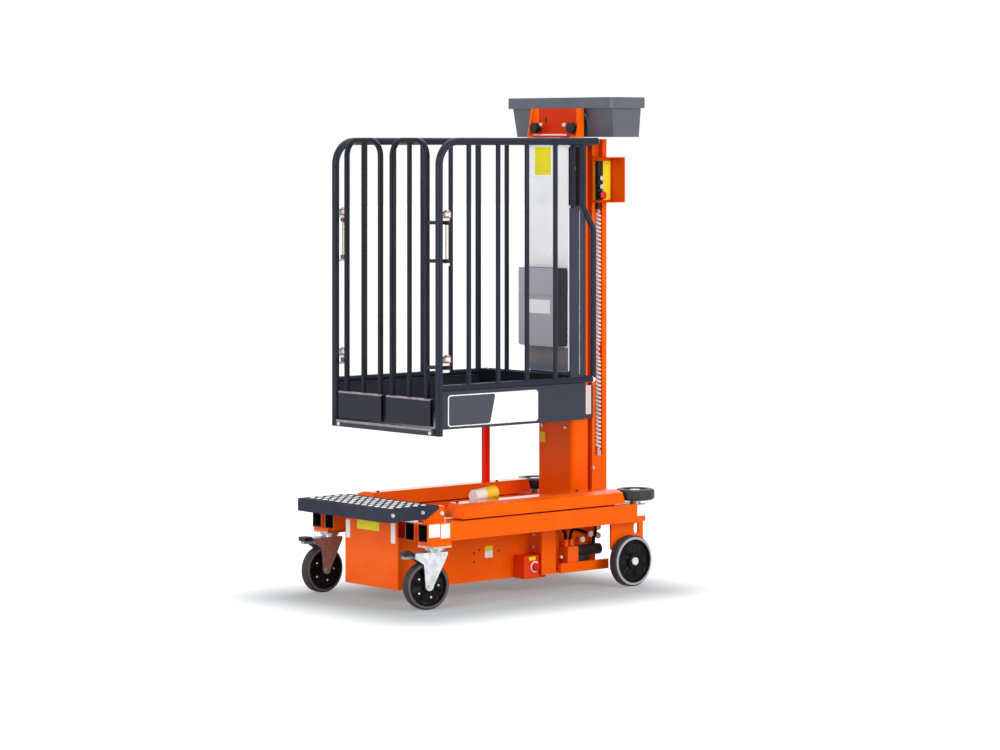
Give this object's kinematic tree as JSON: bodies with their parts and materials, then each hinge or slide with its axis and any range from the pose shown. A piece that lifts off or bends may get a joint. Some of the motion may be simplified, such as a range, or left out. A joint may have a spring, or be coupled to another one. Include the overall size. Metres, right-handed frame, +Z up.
{
  "type": "vertical mast lift",
  "caption": "Push-around personnel lift with a two-section vertical mast, a barred cage with saloon gates, a tool tray and a low wheeled base.",
  "frame": {"origin": "on the floor, in the middle of the machine's length and width", "axes": "+X from the cage's gates to the mast, +Y away from the lower controls, +Z up"},
  "size_m": [1.3245, 0.755, 1.936],
  "materials": {
    "orange_paint": "gloss powder coat, bright orange",
    "grey_paint": "satin powder coat, dark grey",
    "zinc": "bright zinc plate",
    "steel_rod": "hard chrome",
    "black_paint": "black paint",
    "black_plastic": "black moulded plastic",
    "grey_tyre": "grey non-marking rubber",
    "slide_plastic": "pale slide plastic",
    "white_panel": "pale moulded cover",
    "grey_plastic": "grained grey plastic",
    "yellow_plastic": "yellow plastic",
    "red_plastic": "red plastic"
  },
  "bodies": {
    "base": {"chassis_frame": "orange_paint", "castor_plates": "zinc", "wheel_brackets": "orange_paint", "step": "grey_paint", "beam_covers": "orange_paint", "battery_housing": "orange_paint", "pump_cradle": "orange_paint", "power_pack": "black_paint", "isolator": "red_plastic", "rear_axles": "zinc", "roller_pins": "zinc", "outer_mast": "orange_paint", "outer_mast_pads": "slide_plastic", "mast_foot": "orange_paint", "lift_barrel": "black_paint", "lower_control_hood": "orange_paint", "lower_controls": "yellow_plastic", "cord_glands": "black_plastic", "curly_cord": "black_plastic", "rest_post": "orange_paint", "charging_inlet": "yellow_plastic"},
    "mast_section": {"inner_mast": "orange_paint", "inner_mast_pads": "slide_plastic", "lift_rod": "steel_rod"},
    "platform": {"carriage": "grey_paint", "carriage_pads": "slide_plastic", "platform_floor": "grey_paint", "rear_rails": "grey_paint", "side_frames": "grey_paint", "toe_boards": "grey_paint", "gate_hinges": "zinc", "back_panel": "white_panel", "document_case": "grey_plastic", "kick_panel": "grey_plastic", "upper_controls": "black_plastic", "tray_bracket": "orange_paint", "tray_clamps": "black_paint", "tool_tray": "grey_plastic"},
    "gate_near_leaf": {"gate_near": "grey_paint"},
    "gate_far_leaf": {"gate_far": "grey_paint"},
    "castor_swivel_near": {"castor_fork_near": "zinc", "castor_pedal_near": "black_plastic"},
    "castor_wheel_near": {"castor_tyre_near": "grey_tyre", "castor_hub_near": "black_plastic"},
    "rear_wheel_near": {"rear_tyre_near": "grey_tyre", "rear_hub_near": "black_plastic"},
    "roller_near": {"guide_roller_near": "black_plastic"},
    "castor_swivel_far": {"castor_fork_far": "zinc", "castor_pedal_far": "black_plastic"},
    "castor_wheel_far": {"castor_tyre_far": "grey_tyre", "castor_hub_far": "black_plastic"},
    "rear_wheel_far": {"rear_tyre_far": "grey_tyre", "rear_hub_far": "black_plastic"},
    "roller_far": {"guide_roller_far": "black_plastic"}
  },
  "joints": [
    {"name": "mast_slide", "type": "slide", "parent": "base", "child": "mast_section", "axis": [0, 0, 1], "range_m": [0, 1.215]},
    {"name": "platform_lift", "type": "slide", "parent": "base", "child": "platform", "axis": [0, 0, 1], "range_m": [0, 2.43]},
    {"name": "castor_swivel_near", "type": "hinge", "parent": "base", "child": "castor_swivel_near", "pos_m": [-0.474, -0.322, 0.2], "axis": [0, 0, 1], "continuous": true},
    {"name": "castor_spin_near", "type": "hinge", "parent": "castor_swivel_near", "child": "castor_wheel_near", "pos_m": [-0.51117, -0.3141, 0.09], "axis": [0.2079, 0.9781, 0], "continuous": true},
    {"name": "rear_wheel_spin_near", "type": "hinge", "parent": "base", "child": "rear_wheel_near", "pos_m": [0.521, -0.338, 0.1], "axis": [0, 1, 0], "continuous": true},
    {"name": "roller_spin_near", "type": "hinge", "parent": "base", "child": "roller_near", "pos_m": [0.58, -0.3, 0.357], "axis": [0, 0, 1], "continuous": true},
    {"name": "gate_near_hinge", "type": "hinge", "parent": "platform", "child": "gate_near_leaf", "pos_m": [-0.411, -0.317, 1.2], "axis": [0, 0, -1], "range_deg": [0, 90], "stiffness_Nm_per_rad": 1.5},
    {"name": "castor_swivel_far", "type": "hinge", "parent": "base", "child": "castor_swivel_far", "pos_m": [-0.474, 0.322, 0.2], "axis": [0, 0, 1], "continuous": true},
    {"name": "castor_spin_far", "type": "hinge", "parent": "castor_swivel_far", "child": "castor_wheel_far", "pos_m": [-0.512, 0.322, 0.09], "axis": [0, 1, 0], "continuous": true},
    {"name": "rear_wheel_spin_far", "type": "hinge", "parent": "base", "child": "rear_wheel_far", "pos_m": [0.521, 0.338, 0.1], "axis": [0, 1, 0], "continuous": true},
    {"name": "roller_spin_far", "type": "hinge", "parent": "base", "child": "roller_far", "pos_m": [0.58, 0.3, 0.357], "axis": [0, 0, 1], "continuous": true},
    {"name": "gate_far_hinge", "type": "hinge", "parent": "platform", "child": "gate_far_leaf", "pos_m": [-0.411, 0.317, 1.2], "axis": [0, 0, 1], "range_deg": [0, 90], "stiffness_Nm_per_rad": 1.5}
  ],
  "couplings": [
    {"joint": "platform_lift", "follows": "mast_slide", "ratio": 2}
  ]
}
